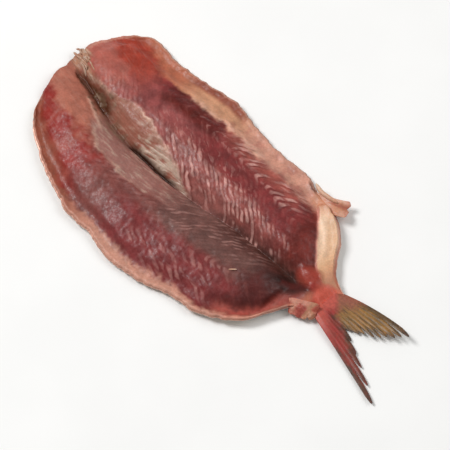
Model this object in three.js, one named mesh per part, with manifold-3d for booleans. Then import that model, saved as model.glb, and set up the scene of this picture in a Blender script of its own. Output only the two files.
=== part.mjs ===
// A butterflied sardine: a headless fish opened along the belly and laid flat, skin side down.
// The two fillets stay joined along the back, and the tail fin stays on. It is one piece, so one solid.
// Millimetres, +Z up. +X runs from the neck cut to the tail, and +Y to the fish's right fillet.

import * as THREE from "three";
import Module from "manifold-3d";

// Body. Stations are [share of the length from neck to tail, value]
const BODY_LENGTH = 131; // neck cut to the root of the tail fin
const GROOVE_LINE = [
  [0, 0], [0.08, -2.6], [0.19, -6.2], [0.32, -8.6], [0.46, -8.6], [0.69, -5.2], [0.86, -3.6], [1, -2.5],
]; // the line of the back in plan, bent towards the left fillet
const FULLNESS = [[0, 0.42], [0.05, 0.74], [0.12, 0.92], [0.32, 1], [0.6, 0.97], [0.8, 0.88], [1, 0.76]];
const VALLEY_THICKNESS = 3.4; // flesh left under the groove of the lifted-out backbone
const LUMP_HEIGHT = 0.35; // soft unevenness of the flesh
const LUMP_WAVES = [[0.21, 0.13], [-0.09, 0.17]]; // two crossing waves, in radians per millimetre of x and y

// Each fillet: half width from groove to outer edge, thickest flesh, how far the neck cut falls back at its
// corner, how high the outer edge curls off the table, and where the waves of its ragged outline start
const RIGHT = {
  halfWidths: [
    [0, 22.5], [0.05, 27.6], [0.16, 31.2], [0.3, 36.4], [0.4, 37.2], [0.55, 34.4],
    [0.69, 31.6], [0.8, 27.5], [0.87, 21.5], [0.91, 14.6], [0.95, 9.4], [1, 6.6],
  ],
  edgeLifts: [[0, 1.2], [0.3, 2.4], [0.6, 1.6], [0.85, 2.2], [1, 1]],
  crown: 9.2,
  neckSweep: 8,
  wavePhase: 0,
};
const LEFT = {
  halfWidths: [
    [0, 23.5], [0.05, 28.2], [0.13, 30.6], [0.3, 33], [0.5, 35], [0.7, 33],
    [0.82, 28.5], [0.87, 23.5], [0.9, 15.5], [0.93, 9], [1, 6.2],
  ],
  edgeLifts: [[0, 1.6], [0.25, 2], [0.5, 1.4], [0.75, 2], [0.89, 3.6], [1, 1.4]],
  crown: 8.2,
  neckSweep: 7,
  wavePhase: 2.3,
};
const NECK_ROUNDNESS = 2.4; // power of the neck cut's curve
const EDGE_WAVES = [{ height: 0.45, count: 3.7 }, { height: 0.27, count: 6.5 }];
const EDGE_WAVE_SPAN = [0.06, 0.8];
const EDGE_WAVE_POWER = 6; // keeps the waves close to the outline
const FADE = 0.05; // share of the length over which a stretch eases in and out

// Flesh across a fillet, as [millimetres, share of the crown's height above the valley]
const RISE_FROM_GROOVE = [[0, 0], [2, 0.22], [6, 0.74], [12, 1]];
const RISE_FROM_EDGE = [[0, 0.1], [5, 0.2], [9.5, 0.5], [16, 0.84], [24, 1]];

// Bare belly skin that edges the flesh
const MARGIN_WIDTH = 4.8;
const MARGIN_THICKNESS = 1.5;
const MARGIN_STEP = 2.2; // half the width of the step down from the flesh
const FLAT_SHARE = 0.7; // share of the half width that lies flat on the table

// The torn slit along the middle of the groove
const SLIT_DEPTH = 1.1;
const SLIT_HALF_WIDTH = 1.1;
const SLIT_FADES = [0.45, 0.56];

// The wrist of the tail: an uncut oval bar that thins into the fin
const WRIST_CLOSES = [0.87, 0.96];
const WRIST_HEIGHT = 6.4;
const FIN_ROOT_HEIGHT = 2.8;
const FIN_ROOT_LIFT = 0.3;
const OVAL_FLATNESS = 0.93; // below 1 the oval keeps a blunt rim

// The strip of belly keel that stays on the right fillet at the tail, rolled over its edge
const KEEL_SPAN = [0.77, 0.95];
const KEEL_HEIGHT = 2.3;
const KEEL_INSET = 2.6;
const KEEL_HALF_WIDTH = 2.7;

// A clot of torn flesh at the tail end of the groove
const CLOT = { x: 118.6, y: -0.8, halfLength: 4.4, halfWidth: 3.6, height: 1.6 };

// Tail fin: a fan of rays in two lobes that part at the fork. Each lobe's free edge curves from fork to tip
const FIN_ROOT_X = 128;
const FORK = [140.8, -4];
const UPPER_LOBE = {
  rootEdge: 3.7,
  bulge: [153, 0.9],
  tip: [160.2, 9.2],
  edgeBow: 2.2,
  tipLift: 3.4,
  rays: 9,
};
const LOWER_LOBE = {
  rootEdge: -8.2,
  bulge: [153, -10.6],
  tip: [170.5, -19.2],
  edgeBow: 0.3,
  tipLift: 0.5,
  rays: 8,
};
const FIN_THICKNESS = [[0, 1.8], [0.4, 1.1], [1, 0.6]]; // along a ray, root to tip
const FIN_LIE = 0.8; // height of the fin's middle where it lies on the table
const FIN_LIES_FROM = 0.6; // share of a ray
const RAY_RIDGE = 0.3;
const RAY_FRAY = 0.13; // share of a ray that stands free of the web
const RAY_UNEVENNESS = 0.06;
const RAY_JITTER = 12.9; // radians from one ray to the next

// Scraps of fin and skin left by the knife: two root corners, two tip corners, and their heights
const ANAL_FIN = {
  root: [[95.5, 22.6], [104.5, 19.6]],
  tip: [[107, 30.2], [110.8, 26]],
  heights: [2.6, 4.8],
  rays: 4,
};
const SKIN_TAB = {
  root: [[119, -9], [126, -4.5]],
  tip: [[122.8, -14.7], [129, -10.8]],
  heights: [3.6, 2],
  rays: 3,
};
const SCRAP_THICKNESS = 1.2;
const SCRAP_ROWS = 3;

// Mesh density
const BODY_ROWS = 54;
const BODY_COLUMNS = 34;
const ROW_CROWDING = 0.4; // how much closer the rows lie at the neck and the tail than in the middle
const COLUMN_CROWDING = 0.6; // the same for columns, at the groove and the outer edges
const FIN_ROWS = 7;
const SLOPE_STEP = 0.004; // share of the length over which the outline's slant is measured

const FLESH = new THREE.MeshStandardMaterial({ color: 0x7d3f3c, roughness: 0.45, metalness: 0 });

const { clamp, lerp, smoothstep } = THREE.MathUtils;

// A smooth curve through [position, value] stations that never overshoots them
function throughStations(stations) {
  const last = stations.length - 1;
  const slopes = stations.slice(1).map(([x, y], i) => (y - stations[i][1]) / (x - stations[i][0]));
  const tangents = stations.map((_, i) => {
    if (i === 0 || i === last) return slopes[Math.min(i, last - 1)];
    const [before, after] = [slopes[i - 1], slopes[i]];
    return before * after <= 0 ? 0 : (2 * before * after) / (before + after);
  });
  return (at) => {
    const x = clamp(at, stations[0][0], stations[last][0]);
    const i = Math.min(last - 1, stations.filter(([start]) => start <= x).length - 1);
    const [[x0, y0], [x1, y1]] = [stations[i], stations[i + 1]];
    const p = (x - x0) / (x1 - x0);
    const bend = (1 - p) * tangents[i] - p * tangents[i + 1] + (2 * p - 1) * slopes[i];
    return lerp(y0, y1, p) + (x1 - x0) * p * (1 - p) * bend;
  };
}

const grooveY = throughStations(GROOVE_LINE);
const fullness = throughStations(FULLNESS);
const riseFromGroove = throughStations(RISE_FROM_GROOVE);
const riseFromEdge = throughStations(RISE_FROM_EDGE);
const finThickness = throughStations(FIN_THICKNESS);
for (const fillet of [RIGHT, LEFT]) {
  fillet.halfWidth = throughStations(fillet.halfWidths);
  fillet.edgeLift = throughStations(fillet.edgeLifts);
}

// Evenly spaced shares from 0 to 1, drawn towards both ends
const crowded = (share, crowding) => share - (crowding * Math.sin(2 * Math.PI * share)) / (2 * Math.PI);

// 1 along a stretch of the body, easing to 0 before and after it
const along = (s, [from, to]) => smoothstep(s, from - FADE, from) * (1 - smoothstep(s, to, to + FADE));

const bell = (x) => Math.exp(-x * x);

// The body point (s, t) in plan: s runs from neck to tail, t from the left edge at -1 to the right edge at 1.
// With it come its distances from the groove and from the outer edge
function bodyPlan(s, t) {
  const across = Math.abs(t);
  const fillet = t < 0 ? LEFT : RIGHT;
  const halfWidth = fillet.halfWidth(s);
  const widening = fillet.halfWidth(s + SLOPE_STEP) - fillet.halfWidth(s - SLOPE_STEP);
  const edgeSlope = widening / (2 * SLOPE_STEP * BODY_LENGTH);
  const neck = fillet.neckSweep * Math.pow(across, NECK_ROUNDNESS);
  const wave = ({ height, count }) => height * Math.sin(2 * Math.PI * count * s + fillet.wavePhase);
  const waves = EDGE_WAVES.reduce((sum, each) => sum + wave(each), 0);
  const ragged = waves * Math.pow(across, EDGE_WAVE_POWER) * along(s, EDGE_WAVE_SPAN);
  return {
    fillet,
    x: lerp(neck, BODY_LENGTH, s),
    y: grooveY(s) + t * halfWidth + Math.sign(t) * ragged,
    fromGroove: across * halfWidth,
    fromEdge: ((1 - across) * halfWidth) / Math.hypot(1, edgeSlope),
  };
}

// How far the skin lies above the table
function skinLift(s, t, plan) {
  const curl = smoothstep(Math.abs(t), FLAT_SHARE, 1);
  return plan.fillet.edgeLift(s) * curl * curl;
}

// Thickness of flesh and skin at a body point
function fleshThickness(s, t, { fillet, x, y, fromGroove, fromEdge }) {
  const bulge = riseFromGroove(fromGroove) * riseFromEdge(fromEdge);
  const lump = (height, [perX, perY]) => height * Math.sin(perX * x + perY * y);
  const lumps = LUMP_WAVES.reduce(lump, LUMP_HEIGHT);
  const slit = SLIT_DEPTH * bell(fromGroove / SLIT_HALF_WIDTH) * (1 - smoothstep(s, ...SLIT_FADES));
  const flesh = fullness(s) * lerp(VALLEY_THICKNESS, fillet.crown, bulge) + lumps - slit;
  const inside = smoothstep(fromEdge, MARGIN_WIDTH - MARGIN_STEP, MARGIN_WIDTH + MARGIN_STEP);
  const keel = KEEL_HEIGHT * bell((fromEdge - KEEL_INSET) / KEEL_HALF_WIDTH) * along(s, KEEL_SPAN);
  return lerp(MARGIN_THICKNESS, flesh, inside) + (t > 0 ? keel : 0);
}

function clotHeight({ x, y }) {
  return CLOT.height * bell((x - CLOT.x) / CLOT.halfLength) * bell((y - CLOT.y) / CLOT.halfWidth);
}

// Top or underside point of the body
function bodyPoint(s, t, isTop) {
  const plan = bodyPlan(s, t);
  const lift = skinLift(s, t, plan);
  const filletZ = isTop ? lift + fleshThickness(s, t, plan) : lift;
  const barHeight = lerp(WRIST_HEIGHT, FIN_ROOT_HEIGHT, smoothstep(s, WRIST_CLOSES[1], 1));
  const oval = Math.sqrt(1 - OVAL_FLATNESS * t * t);
  const barZ = (barHeight / 2) * (isTop ? 1 + oval : 1 - oval) + FIN_ROOT_LIFT;
  const closing = smoothstep(s, ...WRIST_CLOSES);
  return new THREE.Vector3(plan.x, plan.y, lerp(filletZ, barZ, closing) + (isTop ? clotHeight(plan) : 0));
}

// A closed solid: a top and an under sheet of rows by columns, split into triangles alike and joined round
// the rim. Their points are placed by a function of (u, v, isTop)
function shapedSlab(rows, columns, place) {
  const sheet = new THREE.PlaneGeometry(1, 1, rows, columns);
  const grid = sheet.getAttribute("position");
  const points = [];
  for (const isTop of [true, false]) {
    for (let i = 0; i < grid.count; i++) {
      points.push(place(grid.getX(i) + 0.5, grid.getY(i) + 0.5, isTop));
    }
  }
  const below = (i) => i + grid.count;
  const faces = Array.from(sheet.index.array);
  for (let i = 0; i < sheet.index.count; i += 3) {
    faces.push(below(faces[i]), below(faces[i + 2]), below(faces[i + 1]));
  }
  const rim = sheetRim(rows, columns);
  rim.forEach((start, i) => {
    const end = rim[(i + 1) % rim.length];
    faces.push(below(start), below(end), end, below(start), end, start);
  });
  return new THREE.BufferGeometry().setFromPoints(points).setIndex(faces);
}

// The points round a sheet's border, counterclockwise from above
function sheetRim(rows, columns) {
  const at = (row, column) => row + (rows + 1) * (columns - column);
  const rim = [];
  for (let row = 0; row < rows; row++) rim.push(at(row, 0));
  for (let column = 0; column < columns; column++) rim.push(at(rows, column));
  for (let row = rows; row > 0; row--) rim.push(at(row, columns));
  for (let column = columns; column > 0; column--) rim.push(at(0, column));
  return rim;
}

function bodyGeometry() {
  return shapedSlab(BODY_ROWS, BODY_COLUMNS, (u, v, isTop) => {
    const side = 2 * v - 1;
    const t = Math.sign(side) * crowded(Math.abs(side), COLUMN_CROWDING);
    return bodyPoint(crowded(u, ROW_CROWDING), t, isTop);
  });
}

// A fan of rays: u runs from root to tip, v across the rays. Rays stand up as ridges and end free of the web
function rayFan({ rays, rows, rootAt, tipAt, middleZ, thicknessAt, bowAt = () => 0 }) {
  const columns = 2 * rays;
  return shapedSlab(rows, columns, (u, v, isTop) => {
    const isRay = Math.round(v * columns) % 2 === 1;
    const webEnd = 1 - RAY_FRAY + RAY_UNEVENNESS * Math.sin(RAY_JITTER * v * rays);
    const reach = u * (isRay ? 1 : webEnd);
    const plan = rootAt(v).lerp(tipAt(v), reach);
    const half = (thicknessAt(reach) + (isRay ? RAY_RIDGE : 0)) / 2;
    const bow = bowAt(v) * 4 * reach * (1 - reach);
    return new THREE.Vector3(plan.x, plan.y + bow, middleZ(reach, v) + (isTop ? half : -half));
  });
}

// The free edge of a lobe, from the fork at 0 to its tip at 1
function freeEdge(lobe) {
  const corners = [FORK, lobe.bulge, lobe.tip].map((corner) => new THREE.Vector2(...corner));
  return new THREE.QuadraticBezierCurve(...corners);
}

// The tail fin. Its rays run from the wrist to the two free edges, from the lower lobe at 0 to the upper at 1
function tailGeometry() {
  const rays = LOWER_LOBE.rays + UPPER_LOBE.rays;
  const fork = LOWER_LOBE.rays / rays;
  const lobeAt = (v) => (v < fork ? LOWER_LOBE : UPPER_LOBE);
  const outward = (v) => (v < fork ? 1 - v / fork : (v - fork) / (1 - fork));
  const rootZ = FIN_ROOT_LIFT + FIN_ROOT_HEIGHT / 2;
  return rayFan({
    rays,
    rows: FIN_ROWS,
    rootAt: (v) => new THREE.Vector2(FIN_ROOT_X, lerp(LOWER_LOBE.rootEdge, UPPER_LOBE.rootEdge, v)),
    tipAt: (v) => freeEdge(lobeAt(v)).getPoint(outward(v)),
    middleZ: (reach, v) => {
      const lift = lobeAt(v).tipLift * reach * reach * outward(v);
      return lerp(rootZ, FIN_LIE, smoothstep(reach, 0, FIN_LIES_FROM)) + lift;
    },
    thicknessAt: finThickness,
    bowAt: (v) => lobeAt(v).edgeBow * outward(v),
  });
}

// A scrap of fin or skin on the outline
function scrapGeometry(scrap) {
  const [rootStart, rootEnd] = scrap.root.map((corner) => new THREE.Vector2(...corner));
  const [tipStart, tipEnd] = scrap.tip.map((corner) => new THREE.Vector2(...corner));
  const isLeftward = rootEnd.clone().sub(rootStart).cross(tipStart.clone().sub(rootStart)) > 0;
  const share = isLeftward ? (v) => 1 - v : (v) => v;
  return rayFan({
    rays: scrap.rays,
    rows: SCRAP_ROWS,
    rootAt: (v) => rootStart.clone().lerp(rootEnd, share(v)),
    tipAt: (v) => tipStart.clone().lerp(tipEnd, share(v)),
    middleZ: (reach) => lerp(...scrap.heights, reach),
    thicknessAt: () => SCRAP_THICKNESS,
  });
}

const wasm = await Module();
wasm.setup();

function toSolid(geometry) {
  return new wasm.Manifold(
    new wasm.Mesh({
      numProp: 3,
      vertProperties: new Float32Array(geometry.getAttribute("position").array),
      triVerts: new Uint32Array(geometry.index.array),
    }),
  );
}

function toGeometry(solid) {
  const { vertProperties, triVerts } = solid.getMesh();
  const geometry = new THREE.BufferGeometry();
  geometry.setAttribute("position", new THREE.BufferAttribute(vertProperties, 3));
  geometry.setIndex(new THREE.BufferAttribute(triVerts, 1));
  geometry.computeVertexNormals();
  return geometry;
}

function sardineMesh() {
  const extras = [tailGeometry(), ...[ANAL_FIN, SKIN_TAB].map(scrapGeometry)];
  const solid = extras.reduce((fish, extra) => fish.add(toSolid(extra)), toSolid(bodyGeometry()));
  const mesh = new THREE.Mesh(toGeometry(solid), FLESH);
  mesh.name = "sardine";
  return mesh;
}

// The origin is on the table, under the middle of the fish's outline
function onTable(mesh) {
  mesh.geometry.computeBoundingBox();
  const { min, max } = mesh.geometry.boundingBox;
  mesh.position.set(-(min.x + max.x) / 2, -(min.y + max.y) / 2, -min.z);
  return mesh;
}

const sardine = new THREE.Group();
sardine.add(onTable(sardineMesh()));

export default sardine;
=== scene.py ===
# A butterflied sardine in a plain studio: moist flesh, scaled skin, a frayed tail fin and torn scraps.
import math
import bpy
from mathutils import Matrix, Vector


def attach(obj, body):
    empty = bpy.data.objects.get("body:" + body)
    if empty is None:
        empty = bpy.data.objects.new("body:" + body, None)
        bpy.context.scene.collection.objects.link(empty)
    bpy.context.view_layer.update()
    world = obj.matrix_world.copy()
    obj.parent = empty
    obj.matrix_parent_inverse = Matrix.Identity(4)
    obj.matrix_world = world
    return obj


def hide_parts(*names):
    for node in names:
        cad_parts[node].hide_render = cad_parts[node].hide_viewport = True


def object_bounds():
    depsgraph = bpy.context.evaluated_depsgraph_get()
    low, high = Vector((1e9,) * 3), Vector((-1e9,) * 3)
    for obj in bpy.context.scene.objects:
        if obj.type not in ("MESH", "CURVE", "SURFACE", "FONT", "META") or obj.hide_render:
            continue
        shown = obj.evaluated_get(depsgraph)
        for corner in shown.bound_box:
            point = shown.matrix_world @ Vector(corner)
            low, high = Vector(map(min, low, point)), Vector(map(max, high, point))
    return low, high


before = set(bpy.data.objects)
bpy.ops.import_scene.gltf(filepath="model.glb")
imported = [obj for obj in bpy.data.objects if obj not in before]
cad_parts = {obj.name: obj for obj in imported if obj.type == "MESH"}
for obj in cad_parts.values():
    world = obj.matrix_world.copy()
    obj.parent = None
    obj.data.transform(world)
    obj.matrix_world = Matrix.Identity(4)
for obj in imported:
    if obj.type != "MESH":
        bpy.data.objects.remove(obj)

from types import SimpleNamespace as Record

import bpy
import numpy as np
from mathutils import Vector

cad_low, cad_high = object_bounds()

# Lengths are millimetres in the fish's own plan: x from the neck cut to the tail, y towards the right fillet,
# z up from the table
MM = 0.001
LEFT_REACH = 43.91  # from the middle of the neck to the left end of the fish's outline
ORIGIN = np.array([cad_low.x / MM, cad_low.y / MM + LEFT_REACH, 0])


# Curves, noise and easing
def through(*stations):
    """A smooth curve through (position, value) stations that never overshoots them."""
    at, value = np.array(stations, float).T
    slopes = np.diff(value) / np.diff(at)
    before, after = slopes[:-1], slopes[1:]
    turns = before * after <= 0
    inner = np.where(turns, 0, 2 * before * after / np.where(turns, 1, before + after))
    tangents = np.concatenate([slopes[:1], inner, slopes[-1:]])

    def curve(position):
        position = np.clip(position, at[0], at[-1])
        i = np.clip(np.searchsorted(at, position, side="right") - 1, 0, len(at) - 2)
        width = at[i + 1] - at[i]
        p = (position - at[i]) / width
        bend = (1 - p) * tangents[i] - p * tangents[i + 1] + (2 * p - 1) * slopes[i]
        return lerp(value[i], value[i + 1], p) + width * p * (1 - p) * bend

    return curve


def lerp(start, end, share):
    return start + (end - start) * share


def unit(value):
    return np.clip(value, 0, 1)


def rise(value, low, high):
    """Eases from 0 at low to 1 at high."""
    share = unit((value - low) / (high - low))
    return share * share * (3 - 2 * share)


def fall(value, low, high):
    """Eases from 1 at low to 0 at high."""
    return 1 - rise(value, low, high)


def span(value, low, high, ease):
    """1 from low to high, easing to 0 on both sides."""
    return rise(value, low - ease, low) * fall(value, high, high + ease)


def bell(value):
    return np.exp(-value * value)


def plateau(value):
    """A bell with a flat top and steep sides."""
    return np.exp(-(value**4))


NOISE_CELLS = 128
NOISE_GAIN = 1.7
OCTAVE_SHIFT = 17.3
OCTAVE_SHRINK = 2.1


def noise(x, y, size, seed, octaves=3):
    """Smooth seeded noise of about -1 to 1, whose largest lumps are `size` millimetres wide."""
    turn = np.random.default_rng(seed).uniform(0, math.tau, (NOISE_CELLS, NOISE_CELLS))
    total = 0
    for octave in range(octaves):
        u = x / size + OCTAVE_SHIFT * (octave + 0.5)
        v = y / size - OCTAVE_SHIFT * (octave + 0.5)
        i, j = np.floor(u).astype(int), np.floor(v).astype(int)
        u, v = u - i, v - j

        def slope(di, dj):
            angle = turn[(i + di) % NOISE_CELLS, (j + dj) % NOISE_CELLS]
            return np.cos(angle) * (u - di) + np.sin(angle) * (v - dj)

        across, down = (share**3 * (share * (6 * share - 15) + 10) for share in (u, v))
        near, far = (lerp(slope(0, dj), slope(1, dj), across) for dj in (0, 1))
        total += NOISE_GAIN * lerp(near, far, down) / 2**octave
        size /= OCTAVE_SHRINK
    return total


# The body's form. Stations are (share of the length from neck to tail, value)
BODY_LENGTH = 131
GROOVE_LINE = through(
    (0, 0), (0.08, -2.6), (0.19, -6.2), (0.32, -8.6), (0.46, -8.6), (0.69, -5.2), (0.86, -3.6), (1, -2.5),
)
FULLNESS = through((0, 0.42), (0.05, 0.74), (0.12, 0.92), (0.32, 1), (0.6, 0.97), (0.8, 0.88), (1, 0.76))
VALLEY_THICKNESS = 3.4
LUMP_HEIGHT = 0.35
LUMP_WAVES = [(0.21, 0.13), (-0.09, 0.17)]
RISE_FROM_GROOVE = through((0, 0), (2, 0.22), (6, 0.74), (12, 1))
RISE_FROM_EDGE = through((0, 0.1), (5, 0.2), (9.5, 0.5), (16, 0.84), (24, 1))
NECK_ROUNDNESS = 2.4
EDGE_WAVES = [(0.45, 3.7), (0.27, 6.5)]  # height and count along the body
EDGE_WAVE_SPAN = (0.06, 0.8)
EDGE_WAVE_POWER = 6
EDGE_TATTERS = 0.4  # fine raggedness of the cut edge
TATTER_SPAN = (0.03, 0.9)
TATTER_SIZE = 3.5
NECK_TATTER_END = 0.04
FIN_LAP = 1.6  # how unevenly the flesh runs out over the tail fin
FIN_LAP_START = 0.95
FADE = 0.05
MARGIN_WIDTH = 4.8
MARGIN_THICKNESS = 1.5
MARGIN_STEP = 3
FLAT_SHARE = 0.7
WRIST_CLOSES = (0.87, 0.96)
WRIST_HEIGHT = 6.4
WRIST_SINKS_FROM = 0.915
FIN_ROOT_HEIGHT = 2.8
FIN_ROOT_LIFT = 0.3
FLESH_END_HEIGHT = FIN_ROOT_LIFT + 0.6 * FIN_ROOT_HEIGHT
FLESH_END_DIP = (0.5, 0.982)  # depth, and where the end starts to dive into the fin
OVAL_FLATNESS = 0.93
KEEL_HEIGHT = 2.2
KEEL_INSET = 2.7
KEEL_HALF_WIDTH = 3.1
CLOT_HEIGHT = 1.4
SLOPE_STEP = 0.004
SKIN_THICKNESS = 0.5
LEAST_FLESH = 1
FLESH_INSET = 0.35  # the skin shows this far outside the flesh
ROUNDED_EDGE = 1.1

# Each fillet's own form and marks. The strip of grey membrane beside the groove, the reach of the white
# muscle lines, the bend of the chevrons and the width of the belly lining change along the fish, as
# (x, millimetres)
RIGHT = Record(
    half_width=through(
        (0, 22.5), (0.05, 27.6), (0.16, 31.2), (0.3, 36.4), (0.4, 37.2), (0.55, 34.4),
        (0.69, 31.6), (0.8, 27.5), (0.87, 21.5), (0.91, 14.6), (0.95, 9.4), (1, 6.6),
    ),
    edge_lift=through((0, 1.2), (0.3, 2.4), (0.6, 1.6), (0.85, 2.2), (1, 1)),
    strip=through(
        (2, 4.5), (10, 3.4), (20, 4.2), (24, 5.9), (31, 8.8), (37, 9.4), (42, 8.4), (47, 7.2),
        (53, 5.8), (60, 3), (66, 1), (72, 0.3),
    ),
    white_lines=through((15, 11), (30, 12), (50, 12.4), (70, 12.2), (80, 10), (100, 7)),
    bend=through((0, 20), (58, 22.5), (70, 21.6), (85, 18), (95, 15.5), (115, 12)),
    lining=through(
        (10, 0.8), (18, 2.4), (28, 7), (36, 9.2), (50, 9.6), (60, 8), (75, 6.8), (98, 5), (106, 2),
    ),
    crown=9.2, neck_sweep=8, wave_phase=0, tatter_seed=11,
)
LEFT = Record(
    half_width=through(
        (0, 23.5), (0.05, 28.2), (0.13, 30.6), (0.3, 33), (0.5, 35), (0.7, 33),
        (0.82, 28.5), (0.87, 23.5), (0.9, 15.5), (0.93, 9), (1, 6.2),
    ),
    edge_lift=through((0, 1.6), (0.25, 2), (0.5, 1.4), (0.75, 2), (0.89, 3.6), (1, 1.4)),
    strip=through(
        (2, 6), (22, 6.8), (26.6, 8.1), (31, 9.8), (35, 11.2), (52, 11.2), (66, 9), (80, 5), (95, 1),
    ),
    white_lines=through((15, 9), (40, 13), (70, 12), (100, 7)),
    bend=through((0, 19), (58, 21), (85, 17), (95, 15), (115, 12)),
    lining=through((10, 0.8), (24, 1.6), (40, 2.8), (60, 3.8), (86, 3.4), (100, 1.7), (118, 1.2)),
    crown=8.2, neck_sweep=7, wave_phase=2.3, tatter_seed=12,
)


class Plan(Record):
    """Points of the body in plan, and their distances from the groove, the edge and the neck cut."""

    def noise(self, size, seed, octaves=3):
        return noise(self.x, self.y, size, seed, octaves)

    def pick(self, on_right, on_left):
        return np.where(self.right, on_right, on_left)

    def curve(self, name):
        """The fillet's own curve along the fish."""
        return self.pick(getattr(RIGHT, name)(self.x), getattr(LEFT, name)(self.x))


def by_side(right, value):
    """value(fillet) for the right or the left fillet, point by point."""
    return np.where(right, value(RIGHT), value(LEFT))


def neck_line(right, across, inset):
    """How far the neck cut sweeps back towards the edges."""
    return by_side(right, lambda fillet: fillet.neck_sweep) * across**NECK_ROUNDNESS + inset


def body_plan(s, t, inset=0):
    """The body's plan. s runs from neck to tail, t from the left edge at -1 to the right edge at 1."""
    right, across = t >= 0, np.abs(t)
    width_at = lambda share: by_side(right, lambda fillet: fillet.half_width(share))
    half_width = width_at(s) - inset
    edge_slope = (width_at(s + SLOPE_STEP) - width_at(s - SLOPE_STEP)) / (2 * SLOPE_STEP * BODY_LENGTH)
    neck = neck_line(right, across, inset)
    x = lerp(neck, BODY_LENGTH, s)
    phase = by_side(right, lambda fillet: fillet.wave_phase)
    waves = sum(height * np.sin(math.tau * count * s + phase) for height, count in EDGE_WAVES)
    tatters = by_side(right, lambda fillet: noise(x, 0 * x, TATTER_SIZE, fillet.tatter_seed))
    ragged = waves * span(s, *EDGE_WAVE_SPAN, FADE) + EDGE_TATTERS * tatters * span(s, *TATTER_SPAN, FADE)
    y = GROOVE_LINE(s) + t * half_width + np.sign(t) * ragged * across**EDGE_WAVE_POWER
    torn = EDGE_TATTERS * noise(y, 0 * y, TATTER_SIZE, seed=13) * fall(s, 0, NECK_TATTER_END)
    torn += FIN_LAP * noise(y, 0 * y, TATTER_SIZE, seed=14) * rise(s, FIN_LAP_START, 1)
    return Plan(
        s=s, t=t, x=x + torn, y=y, right=right,
        from_neck=x - neck,
        signed=t * half_width,
        from_groove=across * half_width,
        from_edge=(1 - across) * half_width / np.hypot(1, edge_slope),
    )


def skin_lift(plan):
    """Height of the skin over the table."""
    curl = rise(np.abs(plan.t), FLAT_SHARE, 1)
    return by_side(plan.right, lambda fillet: fillet.edge_lift(plan.s)) * curl * curl


def close_wrist(plan, fillet_z, is_top):
    """Blends the opened fillets into the uncut oval wrist of the tail."""
    height = lerp(WRIST_HEIGHT, FIN_ROOT_HEIGHT, rise(plan.s, WRIST_CLOSES[1], 1))
    oval = np.sqrt(1 - OVAL_FLATNESS * plan.t**2)
    bar_z = height / 2 * (1 + oval if is_top else 1 - oval) + FIN_ROOT_LIFT
    return lerp(fillet_z, bar_z, rise(plan.s, *WRIST_CLOSES))


def skin_height(plan):
    return close_wrist(plan, skin_lift(plan), is_top=False)


# Marks on the flesh: where each of its features lies
CHEVRON_PITCH = 2.7
CHEVRON_SLANT = 1.35
CHEVRON_ROUNDNESS = 1.6
CHEVRON_LINE = (0.38, 0.4, 1.0)  # place in the pitch, half width and strength
# a painted line of shade behind each pale line, with its place in the pitch, half width and strength
CHEVRON_PAINTED_SHADE = (0.82, 0.18, 0.55)
SLIT_LINE = through(
    (0, 0.6), (6, -0.6), (10, 0.3), (15, 0.6), (20, 0.9), (23, 0.9), (28, -0.4), (35, -0.8), (41, -0.3),
    (60, 0), (75, 0.4), (112, -0.5),
)  # the torn slit wanders from the middle of the groove, to the right where this is above 0
SLIT_STRENGTH = through(
    (4, 0), (7, 0.95), (22, 1), (27, 0.45), (38, 0.5), (42, 1), (56, 1), (64, 0.22), (88, 0.2), (112, 0.5),
    (120, 0),
)
SLIT_HALF_WIDTH = through(
    (4, 0.8), (12, 1.6), (22, 2.3), (30, 2), (42, 1.1), (60, 0.8), (75, 1.3), (112, 2),
)
KEEL_INNER = through((97, 27.5), (100, 26), (106, 19.8), (110, 15.4), (115, 9.6), (120, 5.4), (125, 3.4))
KEEL_WAY = (0.722, -0.692)  # the keel lies aslant, and these are the x and y of its direction
KEEL_ENDS = (58.4, 88)
KEEL_TOP = 6
STUB_ENDS = (57.6, 60)
PALE_LINE = through((14, -2), (16.2, -2.6), (19.9, -3.3), (23.6, -4.1), (26.6, -4.8), (30, -5.6))
POCKET_X = 115
CLOT = Record(x=118.8, y=-0.4, half_length=6.4, half_width=4.4)
TORN = Record(x=124, y=-10.8, half_length=4.4, half_width=3.2)
NOTCH = Record(x=94, y=0.5, half_length=3, half_width=0.9)  # y is from the right edge
BLOOD_STARTS = 87.3  # blood stains a band that runs aslant from the clot to the lower lobe of the tail
BLOOD_MIDDLE = 89
BLOOD_HALF_WIDTH = 4.5
ALONG = dict(  # from where to where along the fish marks lie, and how softly they end
    wavy_lining=(58, 92, 6), strip=(6, 64, 6), membrane=(18, 56, 7), left_membrane=(29, 48, 6),
    pale_line=(18, 27, 4), white=(16, 100, 8), left_white=(66, 90, 8), outer_chevrons=(68, 94, 8),
    faint_chevrons=(44, 100, 8), specks=(44, 80, 10), outer_specks=(54, 74, 8), shadow=(30, 56, 6),
    ridge=(46, 72, 8), neck_web=(9, 28, 4), slit_web=(42, 54, 4), mottle=(15, 36, 3),
    pale_valley=(66, 80, 8), valley=(92, 112, 18), stub=(98, 110, 3), keel_line=(101, 119, 2),
    end_red=(106, 121, 6),
)
RELIEF = dict(  # how far marks stand out of the flesh
    slit=-1.9, pocket=-0.7, web=0.3, strip=-0.4, membrane=0.5, ridge=0.3, shadow=-0.5, notch=-0.4,
)
LEAF_RELIEF = 0.16
FIBRE_RELIEF = 0.3
FLESH_GRAINS = [(0.16, 6, 25), (0.07, 1.6, 26)]  # height, size and seed


def blood_band(x, y, waver):
    """The stain of blood on the wrist and the root of the tail fin, as a share from 0 to 1."""
    along, over = (x - y) / math.sqrt(2), (x + y) / math.sqrt(2)
    off_middle = np.abs(over - BLOOD_MIDDLE + 0.6 * waver) / BLOOD_HALF_WIDTH
    return rise(along + 0.6 * waver, BLOOD_STARTS - 1, BLOOD_STARTS + 1.2) * fall(off_middle, 0.6, 1.35)


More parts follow.
